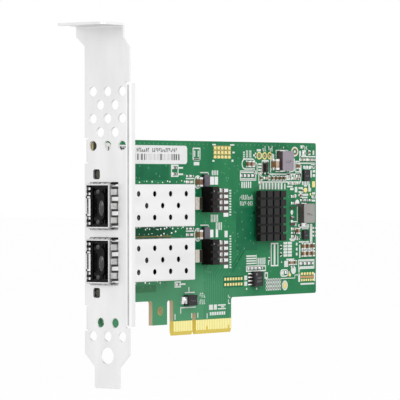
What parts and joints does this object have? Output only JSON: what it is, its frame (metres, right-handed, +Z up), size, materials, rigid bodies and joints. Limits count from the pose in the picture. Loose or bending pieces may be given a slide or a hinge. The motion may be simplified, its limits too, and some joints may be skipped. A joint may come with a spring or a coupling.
{
  "type": "network interface card",
  "caption": "Full-height slot card with optical module cages, a pierced steel bracket, a pin-fin heat sink and a keyed gold contact edge.",
  "frame": {"origin": "centre of the key notch at the contact edge, on the component face of the board", "axes": "+X runs from the slot bracket into the computer, along the board; the component face looks along -Y; +Z points up, away from the slot"},
  "size_m": [0.1442, 0.022, 0.12],
  "materials": {
    "laminate": "green solder mask over glass laminate, satin",
    "contact_gold": "hard gold plating",
    "bracket_steel": "matt nickel plated steel",
    "screw_steel": "bright zinc plated steel",
    "cage_steel": "bright tinned sheet",
    "spring_metal": "bright tinned spring sheet",
    "plug_black": "glossy black moulding",
    "socket_black": "matt black moulding",
    "filter_black": "satin black moulding",
    "tinned": "bright tin",
    "lamp_black": "matt black moulding",
    "lens_clear": "clear lens",
    "chip_black": "matt black moulding compound",
    "pad_grey": "soft grey pad",
    "sink_black": "black anodised",
    "ferrite": "grey-brown pressed ferrite",
    "coil_pale": "pale moulded body",
    "bead_dark": "dark ferrite",
    "capacitor_brown": "brown fired ceramic",
    "resistor_dark": "dark glazed film",
    "label_paper": "matt white label"
  },
  "bodies": {
    "root": {"board": "laminate", "bracket": "bracket_steel", "bracket_screws": "screw_steel", "cage_lower": "cage_steel", "cage_upper": "cage_steel", "capacitor_ends": "tinned", "capacitors": "capacitor_brown", "diode": "chip_black", "diode_terminals": "tinned", "dust_plug_lower": "plug_black", "dust_plug_upper": "plug_black", "edge_contacts_component_side": "contact_gold", "edge_contacts_solder_side": "contact_gold", "grounding_collar_lower": "spring_metal", "grounding_collar_upper": "spring_metal", "heat_sink": "sink_black", "inductor_terminals": "tinned", "label": "label_paper", "lamp_housing_lower": "lamp_black", "lamp_housing_upper": "lamp_black", "lamp_lenses": "lens_clear", "line_filter_leads": "tinned", "line_filter_lower": "filter_black", "line_filter_upper": "filter_black", "memory_chip": "chip_black", "memory_leads": "tinned", "module_socket_contacts": "tinned", "module_socket_lower": "socket_black", "module_socket_upper": "socket_black", "network_controller": "chip_black", "port_coils": "coil_pale", "power_inductor_a": "ferrite", "power_inductor_b": "ferrite", "regulators": "chip_black", "resistor_ends": "tinned", "resistors": "resistor_dark", "supply_beads": "bead_dark", "thermal_pad": "pad_grey", "transistor": "chip_black"}
  },
  "joints": []
}
